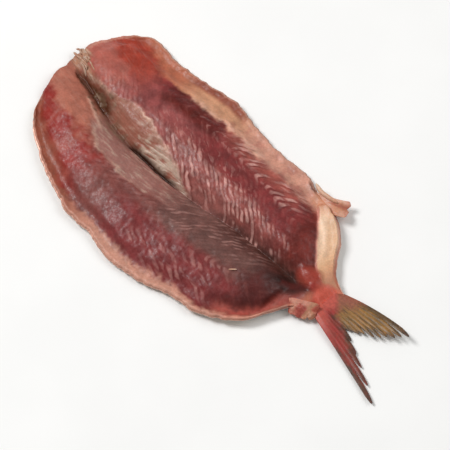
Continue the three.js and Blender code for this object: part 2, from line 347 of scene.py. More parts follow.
def off_spot(x, y, spot):
    """Distance from the middle of an oval spot, 1 at its rim."""
    return np.hypot((x - spot.x) / spot.half_length, (y - spot.y) / spot.half_width)


def weighed(marks, weights):
    return sum(weight * getattr(marks, mark) for mark, weight in weights.items())


def flesh_marks(p):
    """Shares from 0 to 1 that say where each mark lies, and the grain of the muscle."""
    along = Record(**{mark: span(p.x, *reach) for mark, reach in ALONG.items()})
    wobble, ragged = p.noise(5, seed=21), p.noise(1.8, seed=32)
    strip_edge = p.from_groove - p.curve("strip") + 0.7 * wobble
    white_edge = p.from_groove - p.curve("white_lines") + 1.5 * wobble
    lining_edge = p.from_edge - p.curve("lining") + 0.9 * wobble + 0.6 * ragged
    lining_edge += 1.3 * p.right * p.noise(9, seed=34) * along.wavy_lining
    off_bend = p.from_groove - p.curve("bend")
    off_slit = p.signed - SLIT_LINE(p.x) + 0.3 * wobble + 0.3 * ragged * fall(p.x, 26, 38)
    m = Record()

    # Membranes beside the groove
    m.fibres = noise(0.2 * p.x, p.signed - 0.12 * p.x, 1.3, seed=38)
    m.neck = fall(p.from_neck + 3 * wobble, 12, 30)
    m.strip = fall(strip_edge, -0.6, 0.6)
    m.strip *= p.pick(along.strip, rise(p.x, 21, 27) * fall(p.x + 3 * wobble, 52, 74))
    m.membrane = bell((strip_edge + 0.35 * ragged) / 0.65) * (0.65 + 0.5 * p.noise(7, seed=37))
    m.membrane *= p.pick(along.membrane, 0.75 * along.left_membrane)
    pale_line = bell((p.signed - PALE_LINE(p.x) + 0.3 * ragged) / 0.7) * along.pale_line
    m.membrane = np.maximum(m.membrane, 0.65 * pale_line)
    m.cream = m.strip * p.right * span(p.x + 4 * wobble + 5 * m.fibres, 47, 63, 7)
    m.cream *= fall(p.from_groove + 1.5 * m.fibres, 4, 8) * rise(m.fibres, -0.7, 0.2)

    # White lines between the leaves of muscle
    m.grain = p.x - CHEVRON_SLANT * np.hypot(off_bend, CHEVRON_ROUNDNESS) + p.noise(9, seed=23)
    beside_strip = np.maximum(rise(strip_edge, -2, 0.8), ~p.right * rise(p.x, 58, 70))
    on_left = lerp(0.22, 0.34, along.left_white * fall(p.from_groove, 7, 11))
    on_right = lerp(0.3, 1, rise(p.x, 40, 54))
    m.white = beside_strip * fall(white_edge, -1, 2.5) * p.pick(on_right, on_left)
    outer = rise(off_bend, -2, 1) * rise(lining_edge, -3, 2)
    m.chevrons = m.white * along.white + p.pick(0.9, 0.3) * outer * along.outer_chevrons
    m.chevrons += 0.07 * along.faint_chevrons * rise(lining_edge, 0, 3)
    m.chevrons = unit(m.chevrons + 0.06 * m.neck * rise(p.from_groove, 10, 16))
    m.chevrons *= 1 - m.strip * p.pick(lerp(1, 0.5, rise(p.x, 44, 52)), 1)
    # small pale specks painted as glints of light on the wet flesh
    m.specks = bell((white_edge - 1.5) / 4) * along.specks * p.pick(1, 0.2)
    m.specks = np.maximum(m.specks, 0.9 * bell((lining_edge - 4) / 3) * along.outer_specks * p.right)

    # Belly lining, edges and neck cut
    blurred = np.maximum(rise(p.x, 54, 66), fall(p.x, 24, 34))
    m.lining = fall(lining_edge, -1 - 0.5 * blurred, p.pick(lerp(0.8, 3, blurred), 1.5))
    m.shadow = bell((lining_edge - 1.4) / 1.5) * along.shadow * p.pick(1, 0.4)
    m.ridge = bell((lining_edge + 0.7) / 1.1) * along.ridge * p.right * unit(0.75 + 0.6 * p.noise(4, seed=40))
    cut_rim = fall(p.from_neck + 0.5 * ragged, 0.7, 2.2) * rise(p.signed, 6, 9)
    m.rim = np.maximum(fall(p.from_edge + 0.2 * ragged, 0.3, 1), cut_rim)
    m.fat = fall(p.from_neck + ragged, 3, 6) * span(p.signed, 1, 6, 2)
    m.fat = np.maximum(m.fat, fall(p.from_neck, 8, 13) * bell((p.signed - 2.8 + 0.4 * ragged) / 0.9))
    # a shallow dent at the base of the fin spine, painted dark as shade
    m.notch = fall(off_spot(p.x, p.from_edge + 0.3 * ragged, NOTCH), 0.5, 1.15) * p.right
    m.end_red = bell((lining_edge - 1.6) / 2.4) * along.end_red * ~p.right

    # The torn slit and the dark valley behind it
    m.slit = bell(off_slit / SLIT_HALF_WIDTH(p.x)) * SLIT_STRENGTH(p.x)
    web = bell((np.abs(off_slit) - 1.5 * SLIT_HALF_WIDTH(p.x)) / 0.7) * rise(ragged + wobble, 0, 0.5)
    mottle = rise(p.noise(3, seed=39) + 0.25 * rise(p.x, 22, 30), -0.05, 0.5)
    m.web = np.maximum(web * (along.neck_web + 0.6 * along.slit_web), mottle * np.sqrt(m.slit) * along.mottle)
    m.pale_valley = bell(p.signed / 4.5) * along.pale_valley
    m.valley = bell(p.from_groove / p.pick(2.6, 8)) * along.valley
    # the pocket is sunk, and its near-black colour is painted shade
    from_pocket = p.x - POCKET_X
    m.pocket = bell(from_pocket / 6.4) * bell((p.signed + 3.6 - 0.25 * from_pocket) / 3)

    # Keel, wrist and blood
    # a crease near the tail end, painted dark as shade; it has no relief of its own
    off_crease = p.y + 7.1 - 0.62 * from_pocket + 0.5 * wobble
    m.crease = plateau(off_crease / 2) * span(p.x + wobble, 113, 122, 2)
    m.clot = fall(off_spot(p.x, p.y, CLOT) + 0.12 * p.noise(4, seed=24, octaves=1), 0.45, 1.1)
    along_keel = KEEL_WAY[0] * p.x + KEEL_WAY[1] * p.y + 0.3 * ragged
    m.stub = along.stub * fall(along_keel, *STUB_ENDS) * fall(p.from_edge + 0.5 * wobble, 2, 5) * p.right
    m.off_keel = p.signed - KEEL_INNER(p.x)
    m.keel = rise(m.off_keel + 0.25 * wobble, -0.4, 0.5) * rise(p.from_edge, 0.2, 1)
    m.keel *= span(along_keel + 0.4 * wobble, *KEEL_ENDS, 1.6) * p.right
    m.keel_top = fall(along_keel, KEEL_ENDS[0], KEEL_ENDS[0] + KEEL_TOP)
    m.keel_line = bell((m.off_keel + 0.2 * wobble) / 0.55) * along.keel_line * p.right
    m.blood = blood_band(p.x, p.y, wobble)
    m.torn = fall(off_spot(p.x, p.y, TORN) + 0.2 * wobble + 0.15 * ragged, 0.7, 1.05)
    m.wrist = rise(p.s, *WRIST_CLOSES)
    return m


def flesh_height(p, m):
    """The top of the flesh, with its fine relief."""
    bulge = RISE_FROM_GROOVE(p.from_groove) * RISE_FROM_EDGE(p.from_edge)
    lumps = LUMP_HEIGHT * math.prod(np.sin(per_x * p.x + per_y * p.y) for per_x, per_y in LUMP_WAVES)
    flesh = FULLNESS(p.s) * lerp(VALLEY_THICKNESS, p.pick(RIGHT.crown, LEFT.crown), bulge) + lumps
    leaves = np.cos(math.tau * (m.grain / CHEVRON_PITCH - CHEVRON_LINE[0]))
    leaves *= rise(p.noise(4, seed=33), -0.4, 0.5)
    flesh += weighed(m, RELIEF) + LEAF_RELIEF * m.chevrons * leaves
    flesh += FIBRE_RELIEF * m.fibres * np.maximum(m.strip * rise(p.x, 28, 48), m.fat)
    flesh += sum(height * p.noise(size, seed) for height, size, seed in FLESH_GRAINS)
    flesh = np.maximum(flesh, LEAST_FLESH)
    inside = rise(p.from_edge, MARGIN_WIDTH - MARGIN_STEP, MARGIN_WIDTH + MARGIN_STEP)
    margin = MARGIN_THICKNESS + 0.12 * p.noise(2.5, seed=27)
    roll = plateau((p.from_edge - KEEL_INSET) / KEEL_HALF_WIDTH)
    thickness = lerp(margin, flesh, inside) + KEEL_HEIGHT * roll * m.keel
    rounding = np.sqrt(1 - (1 - unit(p.from_edge / ROUNDED_EDGE)) ** 2)
    thickness = lerp(SKIN_THICKNESS, thickness, rounding)
    z = close_wrist(p, skin_lift(p) + thickness, is_top=True)
    z += CLOT_HEIGHT * m.clot + 0.12 * m.wrist * p.noise(3, seed=29)
    z += 0.7 * m.torn * (p.noise(2.4, seed=35, octaves=2) - 0.2)
    z = lerp(z, FLESH_END_HEIGHT, rise(p.s, WRIST_SINKS_FROM, 1))
    dip, dips_from = FLESH_END_DIP
    return z - dip * rise(p.s, dips_from, 1)


# Colours
def srgb(red, green, blue):
    """A linear colour from sRGB bytes."""
    share = np.array([red, green, blue]) / 255
    return np.where(share <= 0.04045, share / 12.92, ((share + 0.055) / 1.055) ** 2.4)


WINE = srgb(120, 46, 46)
WINE_DARK = srgb(87, 24, 18)
WINE_TAIL = srgb(107, 35, 28)
MAUVE = srgb(140, 70, 68)
PINK_FLESH = srgb(154, 86, 78)
SALMON = srgb(166, 88, 76)
LEFT_SALMON = srgb(168, 101, 83)
NECK_RED = srgb(156, 57, 41)
STRIP_TAN = srgb(152, 93, 75)
LEFT_STRIP = srgb(151, 104, 95)
STRIP_CREAM = srgb(194, 168, 150)
MEMBRANE = srgb(218, 180, 160)
# pale lines of tissue, partly real colour and partly painted highlight on their wet ridges
STREAK_AND_HIGHLIGHT = srgb(203, 152, 143)
LINING_ORANGE = srgb(176, 102, 76)
LINING_TAN = srgb(198, 144, 112)
LINING_PINK = srgb(200, 144, 124)
LINING_BROWN = srgb(144, 76, 56)
RIM_PINK = srgb(214, 160, 140)
KEEL_CREAM = srgb(240, 204, 174)
KEEL_TAN_AND_SHADE = srgb(214, 168, 130)
GROOVE_BROWN = srgb(55, 22, 8)
SLIT_BROWN = srgb(81, 39, 19)
WEB_OLIVE = srgb(113, 88, 67)
VALLEY_BROWN = srgb(82, 48, 42)
VALLEY_PALE = srgb(150, 112, 104)
POCKET_PAINTED_SHADE = srgb(20, 8, 6)
LEFT_RED = srgb(138, 34, 26)
LEFT_PURPLE = srgb(120, 64, 58)
LEFT_GREY = srgb(106, 70, 64)
LEFT_END = srgb(84, 32, 30)
END_RED = srgb(156, 72, 62)
END_SALMON = srgb(200, 132, 112)
CLOT_RED = srgb(149, 58, 46)
BLOOD = srgb(212, 98, 80)
BLOOD_DARK = srgb(156, 50, 46)
CREASE_PAINTED_SHADE = srgb(74, 24, 20)
WRIST_TAN = srgb(189, 111, 86)
NECK_FAT = srgb(170, 124, 98)
FLAP_PINK = srgb(196, 134, 104)
FLAP_PALE_AND_HIGHLIGHT = srgb(218, 168, 146)
KEEL_PINK = srgb(226, 150, 136)
KEEL_END = srgb(198, 136, 104)
TAB_RED = srgb(166, 76, 64)
TAB_PINK = srgb(196, 130, 108)
TAB_TAN = srgb(180, 124, 96)
NOTCH_PAINTED_SHADE = srgb(104, 56, 34)
SPINE_WHITE = srgb(232, 206, 180)


def layers(tint, *coats):
    """A colour with coats of (colour, share) painted over it, one after the other."""
    for colour, share in coats:
        tint = tint + (colour - tint) * np.asarray(share)[..., None]
    return tint


def right_tint(p, m, blotch):
    """The right fillet: salmon and orange at the neck, then mauve and wine, pink towards the lining."""
    dark = span(p.from_edge, 8, 15, 4) * span(p.x, 38, 54, 8) * (0.85 + 0.3 * blotch)
    return layers(
        WINE,
        (WINE_TAIL, rise(p.x, 96, 108)),
        (MAUVE, span(p.x, 20, 46, 14) * fall(p.from_groove, 18, 22)),
        (WINE_DARK, dark),
        (PINK_FLESH, 0.6 * m.white * fall(p.x, 96, 106)),
        (SALMON, 0.75 * bell((p.from_edge - 9) / 3.5) * span(p.x, 64, 92, 8)),
        (SALMON, m.neck),
        (NECK_RED, rise(p.from_groove + 2 * blotch, 12, 16) * fall(p.from_neck, 16, 30)),
    )


def left_tint(p, m, blotch):
    """The left fillet: salmon and red at the neck, then purple, grey and wine."""
    red = rise(p.from_groove + 3 * blotch, 10, 15) * fall(p.x, 28, 46)
    return layers(
        LEFT_PURPLE,
        (WINE, rise(p.from_groove, 13, 18) * rise(p.x, 44, 60)),
        (LEFT_GREY, fall(p.from_groove + 2 * blotch, 12, 17) * rise(p.x, 58, 70)),
        (LEFT_END, rise(p.x + 3 * blotch, 98, 108)),
        (LEFT_SALMON, fall(p.x + 3 * blotch, 24, 34)),
        (LEFT_RED, unit(red * (1 + 0.4 * blotch))),
        (LINING_BROWN, fall(p.from_edge + blotch, 3, 9) * fall(p.x, 24, 36)),
        (END_RED, m.end_red),
    )


def lining_tint(p):
    """The belly lining at the outer edges: orange near the neck, then tan and pink."""
    right = layers(
        LINING_ORANGE,
        (LINING_TAN, rise(p.x, 30, 44)),
        (LINING_PINK, rise(p.x, 56, 68)),
        (LINING_BROWN, fall(p.from_edge, 2, 4) * span(p.x, 38, 56, 6)),
        (PINK_FLESH, rise(p.noise(5, seed=36), 0.1, 0.7) * span(p.x, 58, 92, 8) * 0.4),
    )
    left = layers(LINING_BROWN, (LINING_PINK, rise(p.x, 30, 60)), (END_SALMON, rise(p.x, 100, 112)))
    return layers(left, (right, p.right))


def torn_tint(x, y):
    """Torn skin and flesh: red, with pink and white shreds."""
    shred = noise(x, y, 3.4, seed=56, octaves=2)
    return layers(
        TAB_RED,
        (TAB_PINK, rise(shred, -0.3, 0.6)),
        (SPINE_WHITE, rise(shred, 0.5, 0.9) * 0.3),
        (CLOT_RED, rise(-shred, 0.3, 0.8) * 0.7),
    )


def flesh_tint(p, m):
    blotch = p.noise(8, seed=31)
    fibrous = m.strip * rise(m.fibres, 0, 0.9) * p.pick(0.35, 0.45)
    slit = layers(SLIT_BROWN, (GROOVE_BROWN, rise(p.x, 30, 42)))
    keel = layers(
        KEEL_CREAM,
        # tan towards the tail, and painted shade on the keel's outer side
        (KEEL_TAN_AND_SHADE, np.maximum(rise(p.x, 110, 120), 0.7 * rise(m.off_keel, 3, 6))),
        (KEEL_END, rise(p.x, 117, 125)),
        (FLAP_PINK, m.keel_top * 0.7),
    )
    blood = layers(BLOOD_DARK, (BLOOD, rise(p.x + p.y + 2 * blotch, 119.5, 123.5)))
    return layers(
        left_tint(p, m, blotch),
        (right_tint(p, m, blotch), p.right),
        (layers(LEFT_STRIP, (STRIP_TAN, p.right)), m.strip * 0.9),
        (STRIP_CREAM, np.maximum(m.cream, fibrous)),
        (VALLEY_PALE, m.pale_valley * 0.3),
        (MEMBRANE, m.membrane * 0.8),
        (lining_tint(p), m.lining * (1 - m.wrist)),
        (FLAP_PALE_AND_HIGHLIGHT, m.ridge * 0.9),
        (VALLEY_BROWN, m.valley * 0.85),
        (NECK_FAT, m.fat * 0.9),
        (slit, unit(1.3 * m.slit)),
        (WEB_OLIVE, m.web * 0.7),
        # painted shade in the sunk pocket
        (POCKET_PAINTED_SHADE, m.pocket),
        # painted shade in the notch
        (NOTCH_PAINTED_SHADE, m.notch),
        (RIM_PINK, m.rim * 0.5),
        (WRIST_TAN, np.where(p.signed < 0, rise(p.x, 121, 125), m.wrist)),
        # painted shade in the crease
        (CREASE_PAINTED_SHADE, m.crease),
        (keel, m.keel),
        (KEEL_PINK, m.keel_line * 0.7),
        (FLAP_PINK, m.stub),
        (CLOT_RED, m.clot),
        (blood, m.blood),
        (torn_tint(p.x, p.y), m.torn),
    )


# Meshes
ATTRIBUTE_KINDS = {(): ("FLOAT", "value"), (3,): ("FLOAT_VECTOR", "vector"), (4,): ("FLOAT_COLOR", "color")}


def add_attribute(mesh, name, values):
    """A value, vector or colour at each point of a mesh."""
    kind, field = ATTRIBUTE_KINDS[values.shape[1:]]
    mesh.attributes.new(name, kind, "POINT").data.foreach_set(field, values.astype(np.float32).ravel())


def add_object(name, data):
    made = bpy.data.objects.new(name, data)
    bpy.context.scene.collection.objects.link(made)
    return made


def make_piece(name, points, faces, material, slot, tint, **attributes):
    """A mesh piece in the frame, from points in millimetres. It rides on the fish's one body."""
    mesh = bpy.data.meshes.new(name)
    mesh.from_pydata(((points + ORIGIN) * MM).tolist(), [], faces)
    mesh.validate()
    mesh.shade_smooth()
    add_attribute(mesh, "tint", np.column_stack([tint, np.ones(len(tint))]))
    for attribute, values in attributes.items():
        add_attribute(mesh, attribute, values)
    mesh.materials.append(material)
    piece = add_object(name, mesh)
    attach(piece, "root")
    return piece


def sheet_faces(index, flip):
    """Quads of a grid of points, facing up where the columns run to the left of the rows."""
    corners = [index[:-1, :-1], index[1:, :-1], index[1:, 1:], index[:-1, 1:]]
    quads = np.stack([corner.ravel() for corner in corners], axis=1)
    return (quads[:, ::-1] if flip else quads).tolist()


def closed_sheet(fine, coarse, fine_is_top):
    """Points and faces of a closed slab between a fine grid and one with all its rows but fewer columns."""
    rows, columns, few = *fine.shape[:2], coarse.shape[1]
    points = np.concatenate([fine.reshape(-1, 3), coarse.reshape(-1, 3)])
    fine_at = np.arange(rows * columns).reshape(rows, columns)
    coarse_at = fine_at.size + np.arange(rows * few).reshape(rows, few)
    faces = sheet_faces(fine_at, flip=not fine_is_top) + sheet_faces(coarse_at, flip=fine_is_top)
    for column, flip in ((0, fine_is_top), (-1, not fine_is_top)):
        faces += sheet_faces(np.stack([fine_at[:, column], coarse_at[:, column]], axis=1), flip)
    every = (columns - 1) // (few - 1)
    for row, flip in ((0, not fine_is_top), (-1, fine_is_top)):
        for j in range(few - 1):
            side = fine_at[row, j * every : (j + 1) * every + 1].tolist()
            side += coarse_at[row, j : j + 2].tolist()[::-1]
            faces.append(side[::-1] if flip else side)
    return points, faces


COLUMN_CROWDING = 0.45
COARSENING = 12  # columns of a fine sheet to one column of its hidden side


def body_grid(rows, columns):
    """Grids of s and t over the body, with columns drawn towards the groove and the edges."""
    side = np.linspace(-1, 1, columns + 1)
    share = np.abs(side)
    t = np.sign(side) * (share - COLUMN_CROWDING * np.sin(math.tau * share) / math.tau)
    return np.meshgrid(np.linspace(0, 1, rows + 1), t, indexing="ij")


def make_slab(name, plan, fine_z, hidden_z, material, slot, hidden_tint=None, **grids):
    """A slab of the body, with values on the fine side that shows and plain ones, or means, on the other."""
    fine, hidden = (np.stack([plan.x, plan.y, z], axis=-1) for z in (fine_z, hidden_z))
    hidden = hidden[:, ::COARSENING]
    points, faces = closed_sheet(fine, hidden, fine_is_top=fine_z.mean() > hidden_z.mean())
    values, plain = {}, {} if hidden_tint is None else {"tint": hidden_tint}
    for key, grid in grids.items():
        flat = grid.reshape(-1, *grid.shape[2:])
        rest = np.broadcast_to(plain.get(key, flat.mean(axis=0)), (hidden.size // 3, *flat.shape[1:]))
        values[key] = np.concatenate([flat, rest])
    return make_piece(name, points, faces, material, slot, **values)


FLESH_GRID = (396, 216)
HIDDEN_LAP = 0.25  # how far flesh and skin run into each other, out of sight
SIDES_APART = 100.0  # keeps the textures of the two fillets apart
LIES_ALONG_KEEL = 99
UNMUSCLED = dict(keel=1, wrist=1, lining=0.5, strip=1, pocket=1, clot=1, neck=0.5)
STRINGY = dict(cream=0.35, fat=1, keel=0.15, neck=0.15, web=0.3)


def make_flesh(material):
    plan = body_plan(*body_grid(*FLESH_GRID), inset=FLESH_INSET)
    marks = flesh_marks(plan)
    side = plan.pick(0.0, SIDES_APART)
    lie_y = np.where(plan.right & (plan.x > LIES_ALONG_KEEL), marks.off_keel, plan.signed)
    muscle = math.prod(1 - share * getattr(marks, mark) for mark, share in UNMUSCLED.items())
    piece = make_slab(
        "sardine_flesh", plan, flesh_height(plan, marks), skin_height(plan) + HIDDEN_LAP, material, "flesh",
        tint=flesh_tint(plan, marks),
        grain=np.stack([marks.grain, plan.from_groove, side], axis=-1),
        chevrons=marks.chevrons,
        specks=marks.specks,
        muscle=muscle * plan.pick(1, 0.7),
        lie=np.stack([plan.x, lie_y, side], axis=-1),
        stringy=unit(marks.strip * plan.pick(0.22, 0.1) + weighed(marks, STRINGY)),
    )
    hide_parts("sardine")


# Skin: scales in staggered rows, each lapping over the one behind it
SKIN_GRID = (372, 192)
SCALE_WIDTH = 3.6
SCALE_PITCH = 2.7
SCALE_RADIUS = 2.35
SCALE_DEPTH = 0.16
SCALE_SHADE = 0.28
BACK_BLUE = srgb(44, 66, 78)
BACK_GREEN = srgb(88, 110, 104)
SILVER = srgb(186, 192, 194)
SILVER_ROSE = srgb(196, 178, 170)
BELLY = srgb(226, 214, 198)
SPOT_PITCH = 9.5  # a row of dark spots runs along each flank
SPOT_ROW = 18
SPOT_RIM = (0.6, 2)
SPOTS_ALONG = (16, 92, 10)


def scale_relief(x, y):
    """How far each point of a scale lies below its free rear edge, from 0 at the edge to 1 at its root."""
    row = np.floor(x / SCALE_PITCH)
    relief = np.ones_like(x)
    front = np.full_like(x, np.inf)
    for step in (1, 0, -1, -2):
        centre_x = (row + step) * SCALE_PITCH
        shift = np.mod(row + step, 2) * SCALE_WIDTH / 2
        centre_y = np.round((y - shift) / SCALE_WIDTH) * SCALE_WIDTH + shift
        reach = np.hypot(x - centre_x, y - centre_y)
        covers = (reach < SCALE_RADIUS) & (centre_x < front)
        relief = np.where(covers, 1 - reach / SCALE_RADIUS * (x > centre_x), relief)
        front = np.where(covers, centre_x, front)
    return relief


def skin_tint(p, relief):
    share = np.abs(p.t)
    drift = 0.06 * p.noise(9, seed=41)
    off_spots = np.hypot(np.mod(p.x, SPOT_PITCH) - SPOT_PITCH / 2, p.from_groove - SPOT_ROW) + 12 * drift
    tint = layers(
        SILVER,
        (SILVER_ROSE, rise(p.noise(12, seed=42), 0, 0.8) * 0.7),
        (BACK_GREEN, fall(share + drift, 0.24, 0.54)),
        (BACK_BLUE, fall(share + drift, 0.04, 0.38)),
        (BELLY, rise(share + drift, 0.72, 0.94)),
        (BACK_BLUE, fall(off_spots, *SPOT_RIM) * span(p.x, *SPOTS_ALONG) * 0.6),
    )
    return layers(tint * (1 - SCALE_SHADE * relief)[..., None], (RIM_PINK, rise(share, 0.96, 0.985)))


def make_skin(material):
    plan = body_plan(*body_grid(*SKIN_GRID))
    scaly = rise(plan.from_edge, 0.6, 2) * fall(plan.s, 0.94, 1)
    relief = scale_relief(plan.x, plan.y - GROOVE_LINE(plan.s)) * scaly
    low = skin_height(plan)
    make_slab(
        "sardine_skin", plan, low + SCALE_DEPTH * relief, low + SKIN_THICKNESS, material, "skin",
        hidden_tint=RIM_PINK, tint=skin_tint(plan, relief), scales=relief,
    )


# Fans of fin rays
FIN_ROOT_X = 128
FORK = (140.8, -4)
UPPER_LOBE = Record(
    root_edge=3.7, bulge=(153, 0.9), tip=(160.2, 9.2), edge_bow=2.2, tip_lift=3.4, rays=9, fray=0.13,
)
LOWER_LOBE = Record(
    root_edge=-8.2, bulge=(155.2, -8.8), tip=(170.5, -19.2), edge_bow=0.3, tip_lift=0.5, rays=5, fray=0.12,
)
FIN_THICKNESS = through((0, 1.8), (0.14, 1.7), (0.4, 0.9), (1, 0.3))
FIN_LIE = 0.8
FIN_LIES_FROM = 0.6
RAY_COLUMNS = 8
RAY_RIDGE = 0.28
RIDGE_STARTS = (0.1, 0.4)
RAY_HALF_WIDTH = 0.5
RAY_LOSS, RAY_POINT = 0.5, 0.55  # how unevenly rays end, in shares of the fan's fray
TEARS = [0.2, 0.7, 2.2]  # depths of the torn notches between rays, in the same shares
TAPERS_FROM = 0.75
TIP_TAPER = 0.75
SIDE_TAPER = 0.65
LEAST_HALF = 0.07
FIN_OLIVE = srgb(132, 96, 48)
FIN_GOLD = srgb(160, 112, 52)
FIN_DARK = srgb(58, 44, 28)
FIN_ROOT = srgb(148, 84, 64)
FIN_STAIN = srgb(160, 48, 42)
FIN_BLOOD = srgb(182, 78, 64)
FIN_STAIN_DARK = srgb(92, 40, 32)


def fan(rays, rows, root, tip, middle_z, thickness, fray, seed, bow=None, ridge=RAY_RIDGE):
    """A fan of rays joined by web, from root(v) to tip(v), with torn notches between the tips of its rays.

    Returns its points, its faces and each point's shares along and across the fan and nearness to a ray.
    """
    draw = np.random.default_rng(seed)
    across_fan = np.linspace(0, 1, rays * RAY_COLUMNS + 1)
    u, v = np.meshgrid(np.linspace(0, 1, rows + 1), across_fan, indexing="ij")
    off_ray = np.abs(2 * np.mod(v * rays, 1) - 1)
    off_ray = np.where((v == 0) | (v == 1), 1, off_ray)
    ray = np.clip(np.floor(v * rays), 0, rays - 1).astype(int)
    tear = draw.choice(TEARS, rays + 1)[np.clip(np.round(v * rays), 0, rays).astype(int)]
    loss = draw.uniform(0, RAY_LOSS, rays)[ray]
    reach = u * (1 - fray(v) * (RAY_POINT * off_ray + tear * off_ray**5 + loss))
    plan = lerp(root(v), tip(v), reach[..., None])
    if bow is not None:
        plan[..., 1] += bow(v) * 4 * reach * (1 - reach)
    near_ray = bell(off_ray / RAY_HALF_WIDTH)
    taper = 1 - TIP_TAPER * rise(u, TAPERS_FROM, 1)
    taper *= 1 - SIDE_TAPER * rise(np.abs(2 * v - 1), TAPERS_FROM, 1)
    half = (thickness(reach) + ridge * (near_ray - 0.5) * rise(reach, *RIDGE_STARTS)) * taper / 2
    half = np.maximum(half, LEAST_HALF)
    middle = middle_z(reach, v)
    top, under = (np.concatenate([plan, z[..., None]], axis=-1) for z in (middle + half, middle - half))
    points, faces = closed_sheet(top, under, fine_is_top=True)
    twice = lambda values: np.concatenate([values.ravel(), values.ravel()])
    return points, faces, twice(reach), twice(v), twice(near_ray)


def across(start, end):
    """The straight line from start to end, as a function of a share of it."""
    start, end = np.array(start, float), np.array(end, float)
    return lambda v: start + (end - start) * v[..., None]


def make_tail_fin(material):
    rays = LOWER_LOBE.rays + UPPER_LOBE.rays
    fork = LOWER_LOBE.rays / rays
    outward = lambda v: np.where(v < fork, 1 - v / fork, (v - fork) / (1 - fork))
    by_lobe = lambda v, value: np.where(v < fork, getattr(LOWER_LOBE, value), getattr(UPPER_LOBE, value))
    root_z = FIN_ROOT_LIFT + FIN_ROOT_HEIGHT / 2

    def tip(v):
        out = outward(v)[..., None]
        lower, upper = (
            (1 - out) ** 2 * FORK + 2 * out * (1 - out) * lobe.bulge + out**2 * lobe.tip
            for lobe in (LOWER_LOBE, UPPER_LOBE)
        )
        return np.where((v < fork)[..., None], lower, upper)

    def middle_z(reach, v):
        lift = by_lobe(v, "tip_lift") * reach**2 * outward(v)
        return lerp(root_z, FIN_LIE, rise(reach, 0, FIN_LIES_FROM)) + lift

    points, faces, reach, v, near_ray = fan(
        rays, rows=72,
        root=across((FIN_ROOT_X, LOWER_LOBE.root_edge), (FIN_ROOT_X, UPPER_LOBE.root_edge)),
        tip=tip,
        middle_z=middle_z,
        thickness=FIN_THICKNESS,
        fray=lambda v: by_lobe(v, "fray"),
        seed=51,
        bow=lambda v: by_lobe(v, "edge_bow") * outward(v),
    )
    x, y, _ = points.T
    blotch = noise(x, y, 4, seed=52)
    streaks = noise(x, 160 * v, 7, seed=57)
    upper = rise(v + 0.02 * blotch, fork - 0.02, fork + 0.06)
    upper = np.minimum(upper, 1 - blood_band(x, y, blotch))
    lower = 1 - upper
    stain = fall(reach + 0.25 * blotch + 0.1 * streaks, 0.42, 0.85) * (0.85 + 0.45 * blotch)
    rims = np.maximum(fall(v, 0.02, 0.08), span(v, fork - 0.06, fork, 0.07))
    rims *= rise(reach + 0.1 * blotch, 0.25, 0.5) * unit(0.75 + 0.7 * blotch)
    torn = upper * fall(v + 0.03 * blotch, fork, fork + 0.2) * fall(reach, 0.1, 0.5)
    make_piece("tail_fin", points, faces, material, "fin", layers(
        FIN_OLIVE,
        (FIN_GOLD, unit(0.4 * near_ray + 0.6 * streaks)),
        (FIN_DARK, rise(-streaks, 0.1, 0.8) * 0.6),
        (FIN_DARK, rise(reach + 0.15 * blotch, 0.72, 1) * 0.8),
        (FIN_DARK, rise(v + 0.03 * blotch, 0.86, 0.98) * 0.7),
        (FIN_STAIN_DARK, lower * 0.85),
        (FIN_STAIN, lower * unit(stain)),
        (FIN_BLOOD, lower * fall(reach + 0.06 * blotch, 0.08, 0.34)),
        (FIN_ROOT, upper * fall(reach + 0.1 * blotch, 0.12, 0.45)),
        (FIN_DARK, rims * lower * 0.8),
        (TAB_RED, torn * 0.8),
    ))


def ragged_tip(start, end, bulge, seed, fold=0.5, dent=0):
    """A torn tip line from start to end, rounded outwards by the bulge and dented at the fold."""
    line = across(start, end)
    way = np.subtract(end, start)
    outward = np.array([way[1], -way[0]]) / np.hypot(*way)

    def tip(v):
        out = bulge * np.sqrt(1 - 0.99 * (2 * v - 1) ** 2) + 0.35 * noise(v, 0 * v, 0.3, seed)
        out -= dent * bell((v - fold) / 0.12)
        return line(v) + out[..., None] * outward

    return tip


FLAP = Record(root=((104.4, 21.2), (93.6, 24.8)), tip=((109.8, 23.9), (106.4, 29.8)), fold=0.62)
TAB = Record(root=((119.2, -10.6), (128.4, -5)), tip=((122, -13.9), (130.2, -9.5)), fray=0.06)


def make_flap(material):
    """The stub of the cut-off anal fin: a flap with one fold, at the right edge beside the keel."""
    fold = FLAP.fold

    def middle_z(reach, v):
        return lerp(2.2, 3.9, rise(reach, 0, 0.6)) + reach * (2.6 * np.abs(v - fold) - 1)

    points, faces, reach, v, _ = fan(
        rays=5, rows=36,
        root=across(*FLAP.root),
        tip=ragged_tip(*FLAP.tip, bulge=1.5, seed=53, fold=fold, dent=1.1),
        middle_z=middle_z,
        thickness=lambda reach: 1.5 - 0.4 * reach,
        fray=np.zeros_like, seed=53, bow=lambda v: -1.3 * v**2, ridge=0,
    )
    blotch = noise(*points.T[:2], 2.5, seed=55)
    make_piece("anal_fin_flap", points, faces, material, "fin", layers(
        FLAP_PINK,
        # the upper ridge of the flap is painted lighter, as painted light
        (FLAP_PALE_AND_HIGHLIGHT, rise(v + 0.12 * blotch, 0.7, 0.9)),
        (FLAP_PALE_AND_HIGHLIGHT, fall(v + 0.1 * blotch, 0.3, 0.5) * rise(reach, 0.5, 0.8) * 0.6),
        # painted shade in the fold, in the clot's red
        (CLOT_RED, bell((v - fold + 0.06 * blotch) / 0.1) * rise(reach, 0.3, 0.6) * 0.6),
        (TAB_RED, rise(reach + 0.1 * blotch, 0.8, 1) * 0.35),
    ))


